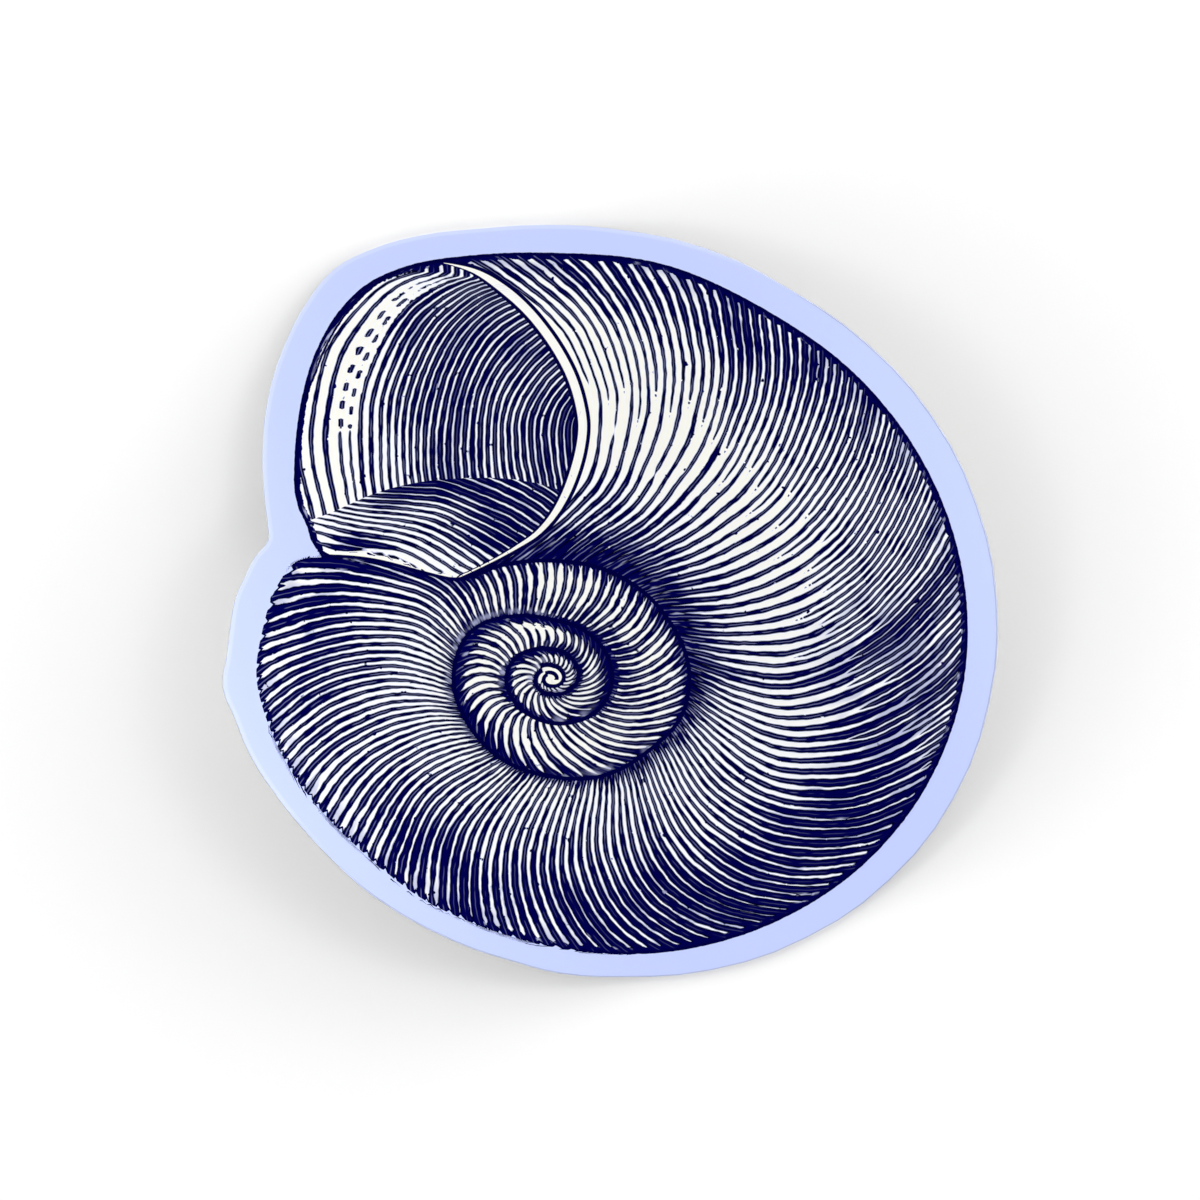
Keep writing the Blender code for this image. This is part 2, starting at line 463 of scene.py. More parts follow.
def lip_width(along):
    """The lip's width in millimetres at this share of the way from the outline to its tip."""
    at_outline, in_middle, at_tip = LIP_WIDTHS
    lost_at_tip = (in_middle - at_tip) * step_up(along, 0.6, 0.98)
    return in_middle - lost_at_tip - (in_middle - at_outline) * step_down(along, 0.0, 0.2)


def mouth_curve():
    """The closed outline of the mouth: lip, lower edge and the outline at its back."""
    foot = np.arange(MOUTH_FOOT + 1, MOUTH_BACK, 1.0)
    back = np.arange(MOUTH_BACK + FULL_TURN - 1, LIP_TOP + FULL_TURN, -OUTLINE_STEP)
    return np.concatenate([lip_curve(), polar(foot, coil_edge(foot)), polar(back, coil_edge(back))])


def outline_curve():
    """The closed outline of the whole shell."""
    turned = np.arange(MOUTH_BACK, MOUTH_BACK + FULL_TURN, OUTLINE_STEP)
    return polar(turned, coil_edge(turned))


def distance_to(points, curve, closed):
    """Distance in millimetres from each point to the curve, and the share of the way along it."""
    starts = curve if closed else curve[:-1]
    ends = np.roll(curve, -1, axis=0) if closed else curve[1:]
    nearest = np.full(len(points), np.inf)
    along = np.zeros(len(points))
    for number, (start, end) in enumerate(zip(starts, ends)):
        edge = end - start
        offset = points - start
        t = np.clip(offset @ edge / max(edge @ edge, TINY), 0.0, 1.0)
        gap = np.hypot(*(offset - t[:, None] * edge).T)
        closer = gap < nearest
        nearest = np.where(closer, gap, nearest)
        along = np.where(closer, (number + t) / len(starts), along)
    return nearest, along


def is_inside(points, curve):
    """True for the points inside the closed curve."""
    x, y = points.T
    inside = np.zeros(len(points), bool)
    for start, end in zip(curve, np.roll(curve, -1, axis=0)):
        crosses = (start[1] > y) != (end[1] > y)
        rise = end[1] - start[1] if end[1] != start[1] else 1.0
        inside ^= crosses & (x < start[0] + (end[0] - start[0]) * (y - start[1]) / rise)
    return inside


def signed_distance(points, curve):
    """Distance to the closed curve, negative inside it."""
    distance, _ = distance_to(points, curve, closed=True)
    return np.where(is_inside(points, curve), -distance, distance)


def nearest_suture(angle, radius):
    """The turned angle of the edge that is nearer to each point, of the two of its whorl."""
    turned = angle - TURNS_BEFORE_ZERO * FULL_TURN
    for _ in range(TURNS):
        following = turned + FULL_TURN
        reached = coil_edge(np.minimum(following, COIL_END)) <= radius
        turned = np.where(reached & (following < COIL_END), following, turned)
    outer = coil_edge(np.minimum(turned + FULL_TURN, COIL_END))
    near_outer = (radius - coil_edge(turned) > outer - radius) & (turned <= MOUTH_BACK)
    return np.where(near_outer, turned + FULL_TURN, turned)


def read(items, key, kind, width=1):
    """One property of all the items of a mesh, as an array."""
    values = np.empty(len(items) * width, kind)
    items.foreach_get(key, values)
    return values


def store(mesh, name, domain, *columns):
    """Keep three values for each point or corner of the mesh as a vector attribute."""
    layer = mesh.attributes.new(name, "FLOAT_VECTOR", domain)
    values = np.stack(np.broadcast_arrays(*columns), axis=-1).astype(np.float32)
    layer.data.foreach_set("vector", values.ravel())


def plan_points(mesh):
    """The mesh's points on the plan, in millimetres."""
    return read(mesh.vertices, "co", np.float32, 3).reshape(-1, 3)[:, :2].astype(float) / MM


def draw_mouth(mesh, cut_edge):
    """Keep at each point how far it is from the shell's curves, and the drawing in the mouth."""
    points = plan_points(mesh)
    mouth = signed_distance(points, mouth_curve())
    lip, along_lip = distance_to(points, lip_curve(), closed=False)
    shelf = points[:, 1] - smooth(SHELF_TOP, points[:, 0])
    outline = signed_distance(points, outline_curve())
    from_cut, _ = distance_to(points, cut_edge, closed=True)
    wall_spacing = spacing(wall_drawing, *points.T, PROBE)
    shelf_spacing = spacing(shelf_drawing, *points.T, PROBE)
    # Distance from the cut, for the painted highlight and painted shade along it.
    store(mesh, "cut", "POINT", from_cut, 0, 0)
    store(mesh, "wall", "POINT", *wall_drawing(*points.T))
    store(mesh, "shelf", "POINT", *shelf_drawing(*points.T))
    store(mesh, "mouth", "POINT", mouth, lip / lip_width(along_lip), shelf)
    store(mesh, "mouth_spacing", "POINT", wall_spacing, shelf_spacing, outline)


def draw_whorls(mesh):
    """Keep at each corner the suture next to it and the drawings of the whorls on its two sides.

    All the corners of a face go by the suture that is nearest to the face's middle, so that the
    turned angle doesn't jump by a full turn within a face.
    """
    corners = read(mesh.loops, "vertex_index", np.int32)
    sizes = read(mesh.polygons, "loop_total", np.int32)
    face = np.repeat(np.arange(len(sizes)), sizes)
    offset = (plan_points(mesh) - COIL_MIDDLE)[corners]
    centre = np.stack([np.bincount(face, offset[:, axis]) / sizes for axis in (0, 1)])
    centre_angle = np.degrees(np.arctan2(centre[1], centre[0])) % FULL_TURN
    suture = nearest_suture(centre_angle, np.hypot(*centre))

    angle = np.degrees(np.arctan2(*offset.T[::-1]))
    turn = (angle - centre_angle[face] + FULL_TURN / 2) % FULL_TURN - FULL_TURN / 2
    turned = suture[face] + turn
    radius = np.hypot(*offset.T)
    side = radius - coil_edge(turned)
    shade = np.where(side > 0, *smooth_columns(SUTURE_SHADE, turned))
    store(mesh, "suture", "CORNER", side, shade, turned)
    step = np.degrees(PROBE / np.maximum(radius, APEX_RADIUS))
    whorls = {"inside": (turned - FULL_TURN, 0.0), "outside": (np.minimum(turned, MOUTH_BACK), -step)}
    for name, (place, before) in whorls.items():
        line, along, ink, second = whorl_drawing(place, radius)
        store(mesh, "whorl_" + name, "CORNER", line, along, ink)
        spaced = spacing(whorl_drawing, place + before, radius, step)
        store(mesh, "lines_" + name, "CORNER", second, spaced, 0)


# -------------------- modelling

def activate(obj):
    """Select this object and no other, and make it the active one."""
    bpy.ops.object.select_all(action="DESELECT")
    bpy.context.view_layer.objects.active = obj
    obj.select_set(True)


def select_faces(obj, is_wanted):
    """Select in edit mode the faces that pass this test, and no others."""
    bpy.ops.mesh.select_all(action="DESELECT")
    sheet = bmesh.from_edit_mesh(obj.data)
    for face in sheet.faces:
        if is_wanted(face):
            face.select_set(True)
    bmesh.update_edit_mesh(obj.data)


def outline_sheet(name, node_name):
    """A flat sheet of one face, with the outline of the underside of one of the frame's sheets."""
    obj = bpy.data.objects.new(name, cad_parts[node_name].data.copy())
    obj.data.name = name
    obj.data.materials.clear()
    bpy.context.scene.collection.objects.link(obj)
    activate(obj)
    bpy.ops.mesh.customdata_custom_splitnormals_clear()
    bpy.context.tool_settings.mesh_select_mode = (False, False, True)
    bpy.ops.object.mode_set(mode="EDIT")
    bpy.ops.mesh.select_all(action="SELECT")
    bpy.ops.mesh.remove_doubles(threshold=WELD)
    select_faces(obj, lambda face: face.normal.z > -FACING)
    bpy.ops.mesh.delete(type="FACE")
    bpy.ops.mesh.select_all(action="SELECT")
    bpy.ops.transform.resize(value=(1, 1, 0), center_override=(0, 0, 0))
    bpy.ops.mesh.dissolve_faces()
    sheet = bmesh.from_edit_mesh(obj.data)
    if len(sheet.faces) != 1:
        raise RuntimeError(f"{node_name}'s underside didn't flatten to one face")
    if next(iter(sheet.faces)).normal.z < 0:
        bpy.ops.mesh.flip_normals()
    bpy.ops.object.mode_set(mode="OBJECT")
    return obj


def bounds(obj):
    """Lowest and highest corner of the object's mesh."""
    points = np.array([vert.co for vert in obj.data.vertices])
    return points.min(axis=0), points.max(axis=0)


def cut_into_grid(obj, cell):
    """Cut the flat sheet in edit mode along lines this far apart, both ways."""
    activate(obj)
    low, high = bounds(obj)
    bpy.ops.object.mode_set(mode="EDIT")
    for axis in (0, 1):
        normal = Vector((axis == 0, axis == 1, 0))
        for number in range(math.ceil(low[axis] / cell), math.ceil(high[axis] / cell)):
            place = normal * number * cell
            bpy.ops.mesh.select_all(action="SELECT")
            bpy.ops.mesh.bisect(plane_co=place, plane_no=normal, threshold=CUT_TOLERANCE)
    bpy.ops.object.mode_set(mode="OBJECT")


def cut_finer(obj, middle, reach):
    """Halve the cells that lie within this reach of a point."""
    activate(obj)
    bpy.ops.object.mode_set(mode="EDIT")
    select_faces(obj, lambda face: (face.calc_center_median() - middle).length < reach)
    bpy.ops.mesh.subdivide(number_cuts=1)
    bpy.ops.object.mode_set(mode="OBJECT")


def curl(obj, above):
    """Curl the flat sheet up on both sides of its strip, at this height above the lowest sheet."""
    across = Vector((math.sin(STRIP_ANGLE), -math.cos(STRIP_ANGLE), 0))
    for vert in obj.data.vertices:
        outward = max(0.0, abs(vert.co.dot(across)) - STRIP_HALF_WIDTH)
        vert.co.z = CURL_RADIUS - math.sqrt((CURL_RADIUS - above) ** 2 - outward**2)


def apply_modifier(obj, name, kind, **settings):
    """Give the active object a modifier with these settings and apply it."""
    modifier = obj.modifiers.new(name, kind)
    for key, value in settings.items():
        setattr(modifier, key, value)
    bpy.ops.object.modifier_apply(modifier=modifier.name)


def thicken(obj, thickness):
    """Give the sheet a wall above it, with a chamfered cut edge and a slot for each side."""
    activate(obj)
    apply_modifier(obj, "Thickness", "SOLIDIFY", thickness=thickness, offset=1.0, use_even_offset=True)
    apply_modifier(obj, "Cut edge", "BEVEL", width=thickness * CHAMFER_SHARE, limit_method="ANGLE",
                   angle_limit=CHAMFER_ANGLE)
    for face in obj.data.polygons:
        if face.normal.z > FACING:
            face.material_index = TOP_SLOT
        elif face.normal.z < -FACING:
            face.material_index = UNDERSIDE_SLOT
        else:
            face.material_index = EDGE_SLOT
    bpy.ops.object.shade_smooth_by_angle(angle=SMOOTH_ANGLE)


def add_bake_map(obj):
    """A UV map that lays the plan of the sheet over nearly the whole square."""
    low, high = bounds(obj)
    size = max(high[0] - low[0], high[1] - low[1])
    middle = (low + high) / 2
    layer = obj.data.uv_layers.new(name="OFBake")
    for loop in obj.data.loops:
        place = (np.array(obj.data.vertices[loop.vertex_index].co) - middle) / size
        layer.data[loop.index].uv = (0.5 + MAP_SHARE * place[0], 0.5 + MAP_SHARE * place[1])


# -------------------- shader graphs

def arithmetic(operation, turned_round=False):
    """A method of Value that works on it and another value, or on the other and it."""
    def method(self, other):
        values = (other, self) if turned_round else (self, other)
        return self.graph.math(operation, *values)
    return method


class Value:
    """An output socket in a shader tree. Working with it adds nodes to the tree."""

    __add__ = arithmetic("ADD")
    __radd__ = arithmetic("ADD")
    __sub__ = arithmetic("SUBTRACT")
    __rsub__ = arithmetic("SUBTRACT", turned_round=True)
    __mul__ = arithmetic("MULTIPLY")
    __truediv__ = arithmetic("DIVIDE")
    __rtruediv__ = arithmetic("DIVIDE", turned_round=True)
    above = arithmetic("GREATER_THAN")
    below = arithmetic("LESS_THAN")

    def __init__(self, graph, socket):
        self.graph = graph
        self.socket = socket

    def __abs__(self):
        return self.graph.math("ABSOLUTE", self)

    def most(self, *others):
        """The greatest of this value and the others."""
        greatest = self
        for other in others:
            greatest = self.graph.math("MAXIMUM", greatest, other)
        return greatest

    def unless(self, mask):
        """This value where the mask is 0, and 0 where the mask is 1."""
        return self * (1.0 - mask)

    def ramp(self, low, high):
        """0 at low, 1 at high, and a smooth rise between them."""
        inputs = {0: self, 1: low, 2: high, 3: 0.0, 4: 1.0}
        return self.graph.node("MapRange", inputs, interpolation_type="SMOOTHSTEP")

    def band(self, low, full, fade, high):
        """1 from full to fade, and 0 below low and above high."""
        return self.ramp(low, full) * self.ramp(high, fade)

    def near_zero(self, reach):
        """1 where this value is nearer to 0 than its reach, with a soft edge."""
        return abs(self).ramp(reach, reach - SOFT_EDGE)

    def either(self, first, second):
        """The first vector where this mask is 0 and the second where it is 1."""
        return self.graph.node("Mix", {0: self, 4: first, 5: second}, 1, data_type="VECTOR")

    def blend(self, first, second):
        """The first colour where this mask is 0 and the second where it is 1."""
        return self.graph.node("Mix", {0: self, 6: first, 7: second}, 2, data_type="RGBA")

    def noise(self, scale, detail=1.0):
        inputs = {"Vector": self, "Scale": scale, "Detail": detail}
        return self.graph.node("TexNoise", inputs)

    def chance(self):
        """A value drawn for each whole number, mostly near a half."""
        return self.graph.node("TexWhiteNoise", {"W": self}, "Color", noise_dimensions="1D")

    def distance(self, point):
        return self.graph.node("VectorMath", {0: self, 1: point}, "Value", operation="DISTANCE")

    def split(self):
        node = self.graph.tree.nodes.new("ShaderNodeSeparateXYZ")
        self.graph.feed(node.inputs[0], self)
        return [Value(self.graph, socket) for socket in node.outputs]


class Graph:
    """Adds nodes to a shader tree and links them, with plain values on their own sockets."""

    def __init__(self, tree):
        self.tree = tree

    def feed(self, socket, value):
        if isinstance(value, Value):
            self.tree.links.new(value.socket, socket)
        else:
            socket.default_value = value

    def node(self, kind, inputs, output=0, **settings):
        """Add a node with these inputs and settings, and return one of its outputs."""
        node = self.tree.nodes.new("ShaderNode" + kind)
        for key, value in settings.items():
            setattr(node, key, value)
        for place, value in inputs.items():
            self.feed(node.inputs[place], value)
        return Value(self, node.outputs[output])

    def group(self, tree, **inputs):
        """Place a node group with these inputs, and return its outputs by name."""
        node = self.tree.nodes.new("ShaderNodeGroup")
        node.node_tree = tree
        for label, value in inputs.items():
            self.feed(node.inputs[label], value)
        return {socket.name: Value(self, socket) for socket in node.outputs}

    def math(self, operation, *values, clamp=False):
        return self.node("Math", dict(enumerate(values)), operation=operation, use_clamp=clamp)

    def join(self, x, y, z):
        return self.node("CombineXYZ", {0: x, 1: y, 2: z})

    def attribute(self, name):
        return self.node("Attribute", {}, "Vector", attribute_name=name)

    def place(self):
        """The object's own coordinates in millimetres."""
        coordinates = self.node("TexCoord", {}, "Object")
        return self.node("VectorMath", {0: coordinates, "Scale": 1 / MM}, operation="SCALE")


def open_group(name, *inputs):
    """A shader node group with these number inputs: its graph, and the inputs by name."""
    tree = bpy.data.node_groups.new(name, "ShaderNodeTree")
    for label in inputs:
        tree.interface.new_socket(label, in_out="INPUT", socket_type="NodeSocketFloat")
    graph = Graph(tree)
    given = tree.nodes.new("NodeGroupInput").outputs
    return graph, {label: Value(graph, given[label]) for label in inputs}


def close_group(graph, **outputs):
    """Give the group these outputs, and return it."""
    for label, value in outputs.items():
        kind = "NodeSocketVector" if value.socket.type == "VECTOR" else "NodeSocketFloat"
        graph.tree.interface.new_socket(label, in_out="OUTPUT", socket_type=kind)
    result = graph.tree.nodes.new("NodeGroupOutput")
    for label, value in outputs.items():
        graph.feed(result.inputs[label], value)
    return graph.tree


# -------------------- the print

# Where the parts of a stroke begin and are full, in millimetres inside its edge.
STROKE_EDGE = (-0.015, 0.050)
STROKE_FRINGE = (-0.065, -0.010)
STROKE_CORE = (0.09, 0.28)
OPEN_GAP = (-0.09, -0.24)

LINE_WANDER = ((0.12, 0.8), (0.4, 0.14), (1.1, 0.12))   # scale of the noise, and millimetres
DASHED_TONE = (0.13, 0.17)  # lines with less ink than this are dashed
DASH_SWELL = 4.2            # how much wider a dash is than a whole line of its tone
DASH_PACE = 3.06            # radians for each millimetre
BEAD_PACE = 11.0
NO_SECOND = -9.0            # the strength of secondary lines where there are none

# Half widths of the contours, in millimetres and for the lip's inner line in shares of its width.
SUTURE_LINE = 0.26
MOUTH_LINE = 0.21
LIP_OUTER_LINE = 0.23
LIP_INNER_LINE = 0.18
SOFT_EDGE = 0.06
RIM_LINE = (-0.38, -0.32)   # millimetres outside the shell's edge
TOOTH_LENGTH = 0.32

# Turned angles where the rim is jagged, and bearings where the coil's sutures are smeared on
# either side: where that begins, is full, fades and ends.
JAGGED_RIM = (508.0, 520.0, 600.0, 660.0)
SMEARED_OUTSIDE = (85.0, 115.0, 180.0, 205.0)
SMEARED_INSIDE = (265.0, 285.0, 310.0, 335.0)
LAST_SMEAR = 400.0          # turned angle

# Millimetres from the cut edge: the reach of the painted highlight along the cut at the upper left, and
# of the painted shade line along it elsewhere.
EDGE_HIGHLIGHT_REACH = (0.55, 0.30)
EDGE_SHADE_REACH = (0.17, 0.09)


def engraved_strokes():
    """Node group: the strokes that a graver leaves along numbered lines.

    Line is the line's number, with whole numbers midway between strokes. Along is the place
    along it in millimetres, Ink the share of ink, Second the strength of the secondary lines,
    Spacing the millimetres from one line to the next, Closing rises to 1 where the strokes
    swell until they meet, and Rough is how uneven their edges are.
    """
    graph, given = open_group(
        "Engraved strokes", "Line", "Along", "Ink", "Second", "Spacing", "Closing", "Rough")
    along = given["Along"]
    tone = given["Ink"]
    rough = given["Rough"]
    place = graph.place()
    wander = sum((place.noise(scale, 0.0) - 0.5) * size for scale, size in LINE_WANDER)
    line = given["Line"] + wander / given["Spacing"]
    half = given["Spacing"] * 0.5
    number = graph.math("FLOOR", line)
    off = abs(line - number - 0.5) * 2.0
    second_number = graph.math("FLOOR", line + 0.5)
    second_off = 1.0 - off

    def line_noise(which, spread, pace, layer):
        """Noise that changes along a line and from one line to the next."""
        return graph.join(which * spread, along * pace, layer).noise(1.0)

    def stroke_width(which, share, layer):
        """Half the stroke's width as a share of the spacing's half."""
        swell = line_noise(which, 3.71, 0.16, layer) * 0.7 + 0.65
        ragged = (line_noise(which, 7.93, 0.9, layer + 5) - 0.5) * rough
        width = ink * share * swell + ragged * share
        kept = tone * 1.2 + line_noise(which, 5.3, 0.22, 11.0) + 1.0 - is_whole
        width = width * kept.ramp(0.62, 0.78) * dash.most(is_whole)
        return width.ramp(0.12, 0.0) * -0.15 + width

    # Where there is least ink, a line is a row of thick dashes.
    is_whole = tone.ramp(*DASHED_TONE)
    dash = graph.math("SINE", number * 2.0 + along * DASH_PACE).ramp(-0.1, 0.4)
    luck = (number.chance() - 0.5) * rough
    ink = luck * 0.7 + tone * (is_whole * (1 - DASH_SWELL) + DASH_SWELL)

    # Each secondary line starts earlier or later than the last one, as a row of beads.
    second = (given["Second"] + (second_number.chance() * 2.8 - 1.4)).ramp(0.0, 1.0)
    shares = second + 1.0
    beads = graph.math("SINE", along * BEAD_PACE).ramp(-0.3, 0.3)
    beads = beads.most(second.ramp(0.45, 0.6), tone.ramp(0.42, 0.52))
    second_width = stroke_width(second_number, second / shares * beads, 17.0)

    blots = place.noise(1.1).ramp(0.70, 0.80) * 0.35
    nicks = place.noise(1.6).ramp(0.72, 0.80) * 0.15
    closed = given["Closing"] * (line_noise(number, 2.9, 0.3, 5.0) * 1.2 + 0.5)
    width = stroke_width(number, 1.0 / shares, 2.0) + (blots - nicks) + closed
    deepest = (width - off).most(second_width - second_off) * half

    def scratch(from_middle, stroke):
        """A thin mark along the middle of a stroke that is wide enough for it."""
        return (from_middle * half).ramp(0.08, 0.035) * (stroke * half).ramp(0.14, 0.21)

    patchy = line_noise(number, 9.1, 0.5, 29.0).ramp(0.40, 0.54)
    scratches = scratch(off, width).most(scratch(second_off, second_width))
    return close_group(
        graph,
        Stroke=deepest.ramp(*STROKE_EDGE),
        Fringe=deepest.ramp(*STROKE_FRINGE),
        Core=deepest.ramp(*STROKE_CORE),
        Open=deepest.ramp(*OPEN_GAP),
        Streak=scratches * patchy.unless(tone.ramp(0.62, 0.80) * 0.75),
        Crowd=width + second_width.most(0.0),
        Ridge=second_off,
    )


class ShellPrint:
    """Works out the colour of the printed face from the attributes that its mesh keeps."""

    def __init__(self, graph, colours, strokes_group):
        self.graph = graph
        self.colours = colours
        self.place = graph.place()
        self.across, self.up, _ = self.place.split()
        self.from_middle = self.place.distance((*COIL_MIDDLE, 0.0))
        self.side, self.shade, self.turned = graph.attribute("suture").split()
        self.mouth, self.lip, shelf = graph.attribute("mouth").split()
        wall_spacing, shelf_spacing, self.outline = graph.attribute("mouth_spacing").split()
        self.rough_edge = (self.place.noise(1.9, 2.0) - 0.5) * 0.5
        self.is_outside = self.side.above(0.0)
        self.in_mouth = self.mouth.below(0.0)
        self.on_lip = self.in_mouth * self.lip.below(1.0)
        self.on_shelf = self.in_mouth * shelf.below(0.0)
        self.jagged = self.turned.band(*JAGGED_RIM)

        wall = graph.join(NO_SECOND, wall_spacing, 0.0)
        shelf = graph.join(NO_SECOND, shelf_spacing, 0.0)
        line, along, ink = self.pick("whorl", graph.attribute("wall"), graph.attribute("shelf"))
        second, spaced, _ = self.pick("lines", wall, shelf)
        cloud = self.place.noise(0.12, 2.0) * 0.3 + 0.85
        near_rim = self.outline.ramp(-9.0, -1.0).unless(self.in_mouth)
        rough = self.from_middle.ramp(17.0, 14.0) * 0.4 + 0.12 + near_rim * 0.45
        self.strokes = graph.group(
            strokes_group, Line=line, Along=along, Second=second, Spacing=spaced, Rough=rough,
            Ink=ink.unless(self.on_lip) * cloud.most(self.in_mouth), Closing=self.closing())
        self.trace = graph.join(line, along * 0.35, 3.0).noise(1.0, 2.0)
        self.blot = graph.join(line, along * 0.22, 7.0).noise(0.8)

    def pick(self, name, wall, shelf):
        """The three values kept for the whorls, the wall or the shelf, whichever is here."""
        whorls = [self.graph.attribute(f"{name}_{part}") for part in ("inside", "outside")]
        picked = self.in_mouth.either(self.is_outside.either(*whorls), wall)
        return self.on_shelf.either(picked, shelf).split()

    def closing(self):
        """How far the strokes swell together: along the sutures and at the rim."""
        off_suture = abs(self.side) / self.shade
        fading = self.graph.math("POWER", 0.4, off_suture)
        blunt = self.graph.math("SUBTRACT", 1.5, off_suture, clamp=True)
        closing = fading + (blunt - fading) * self.turned.ramp(130.0, 90.0)
        closing = (closing * self.turned.below(MOUTH_BACK)).unless(self.in_mouth)
        at_rim = (self.outline + self.rough_edge).ramp(-0.85, -0.5).unless(self.jagged * 0.9)
        return closing.most(at_rim).unless(self.on_lip)

    def gaps(self):
        """The sheet between the strokes: creamy in the wide gaps and inner whorls, smeared in the narrow
        ones.
        """
        near_rim = self.outline.ramp(-3.5, -0.8).unless(self.in_mouth)
        rubbed = self.across.ramp(20.0, 31.0) * self.up.ramp(4.0, -3.0)
        narrow = self.strokes["Crowd"].ramp(0.66, 0.90).most(near_rim * 0.7, rubbed * 0.8)
        inner = self.from_middle.ramp(15.5, 12.5) * 0.75
        creamy = self.strokes["Open"].most(inner, self.on_lip * 0.5)
        gap = creamy.blend(self.colours.white, self.colours.cream)
        gap = (narrow * self.blot.ramp(0.46, 0.58)).blend(gap, self.colours.smear)
        return (self.strokes["Fringe"] * 0.75).blend(gap, self.colours.fringe)

    def ink(self):
        """The strokes, with scratches along them and pale seams where they have just met."""
        body = self.strokes["Core"].blend(self.colours.ink_edge, self.colours.ink)
        body = (self.strokes["Streak"] * 0.65).blend(body, self.colours.streak)
        seam = self.strokes["Ridge"].ramp(0.5, 0.1) * self.strokes["Crowd"].band(0.95, 1.1, 1.5, 1.9)
        return (seam * self.trace.ramp(0.52, 0.64)).blend(body, self.colours.smear)

    def feather(self):
        """Smears along the coil's sutures: outside them at upper left, inside at lower right."""
        feather = (self.trace * 0.8 + abs(self.side)).band(0.60, 0.90, 1.10, 1.60)
        feather = feather * self.place.noise(0.3).ramp(0.42, 0.56)
        bearing = self.graph.math("MODULO", self.turned + 4 * FULL_TURN, FULL_TURN)
        outside = bearing.band(*SMEARED_OUTSIDE) * self.is_outside
        inside = bearing.band(*SMEARED_INSIDE).unless(self.is_outside)
        feather = feather * (outside + inside) * self.turned.below(LAST_SMEAR)
        return feather.unless(self.in_mouth) * self.trace.ramp(0.35, 0.7) * 0.9

    def rim(self):
        """Distance outside the shell's edge, with a tooth at each line where it is jagged."""
        bump = self.place.noise(0.55) * 1.15 - 0.28 - self.strokes["Ridge"] * 0.80
        rim = (self.outline + bump * self.jagged).most(self.outline - TOOTH_LENGTH)
        return rim + self.rough_edge * 0.25

    def contours(self, rim):
        """The whole lines: outline, sutures, edge of the mouth and both edges of its lip."""
        rim_line = (rim - self.jagged * 0.03).ramp(*RIM_LINE)
        thin = self.across.ramp(-29.0, -24.0).most(self.up.ramp(27.0, 21.0))
        from_rim = self.outline + self.rough_edge * 0.5 - thin * 0.55
        slit = rim.ramp(-0.34, -0.40) * from_rim.ramp(-0.74, -0.66)
        slit = slit * self.place.noise(0.28, 0.0).ramp(0.33, 0.38)
        wall_line = from_rim.ramp(-1.02, -0.94).unless(slit) * self.in_mouth.unless(self.on_lip)
        suture_line = self.side.near_zero(SUTURE_LINE) * self.turned.below(MOUTH_BACK)
        lip_inner = (self.lip - 1.0).near_zero(LIP_INNER_LINE) * self.in_mouth
        lip_outer = (self.mouth - 0.05).near_zero(LIP_OUTER_LINE) * self.lip.ramp(0.6, 0.4)
        return self.mouth.near_zero(MOUTH_LINE).most(
            rim_line, wall_line, suture_line.unless(self.in_mouth), lip_inner, lip_outer)

    def border(self):
        """The plain border, with a painted highlight by the cut at the upper left and painted shade by
        it elsewhere.
        """
        from_cut, _, _ = self.graph.attribute("cut").split()
        to_upper_left = self.up - self.across * 1.3
        # Painted highlight: a paler band along the cut on the upper left, the side the light falls on.
        edge_highlight = from_cut.ramp(*EDGE_HIGHLIGHT_REACH) * to_upper_left.ramp(10.0, 30.0) * 0.5
        # Painted shade: a thin line of the darkened cut-edge colour along the rest of the cut.
        edge_shade = from_cut.ramp(*EDGE_SHADE_REACH).unless(to_upper_left.ramp(0.0, 12.0))
        return edge_shade.blend(edge_highlight.blend(self.colours.border, self.colours.edge_highlight), self.colours.vinyl)

    def colour(self):
        """The shell's drawing inside its outline and the border outside it."""
        rim = self.rim()
        drawn = self.strokes["Stroke"].unless(self.on_lip).blend(self.gaps(), self.ink())
        drawn = self.feather().blend(drawn, self.colours.smear)
        drawn = self.contours(rim).blend(drawn, self.colours.contour)
        return rim.ramp(-0.03, 0.03).blend(drawn, self.border())


# -------------------- materials

def sheet_grain():
    """Node group: the faint unevenness of a smooth sheet, as a mask and a normal."""
    graph, given = open_group("Sheet grain", "Scale", "Height")
    mottle = graph.place().noise(given["Scale"], 4.0)
    bump = {"Strength": 1.0, "Distance": MM, "Height": mottle * given["Height"]}
    return close_group(graph, Mottle=mottle, Normal=graph.node("Bump", bump))


def shared_group(name, build):
    """The node group of this name, built the first time that it is asked for."""
    return bpy.data.node_groups.get(name) or build()


def new_material(name):
    """A new material, its graph and its Principled shader."""
    material = bpy.data.materials.new(name)
    material.use_nodes = True
    return material, Graph(material.node_tree), material.node_tree.nodes["Principled BSDF"]


def print_material(colours):
    """The printed face under its clear laminate."""
    material, graph, shader = new_material("printed shell")
    strokes = shared_group("Engraved strokes", engraved_strokes)
    grain = graph.group(shared_group("Sheet grain", sheet_grain), Scale=0.8, Height=0.004)
    graph.feed(shader.inputs["Base Color"], ShellPrint(graph, colours, strokes).colour())
    graph.feed(shader.inputs["Roughness"], grain["Mottle"] * 0.12 + 0.36)
    graph.feed(shader.inputs["Normal"], grain["Normal"])
    shader.inputs["Specular IOR Level"].default_value = 0.005
    return material


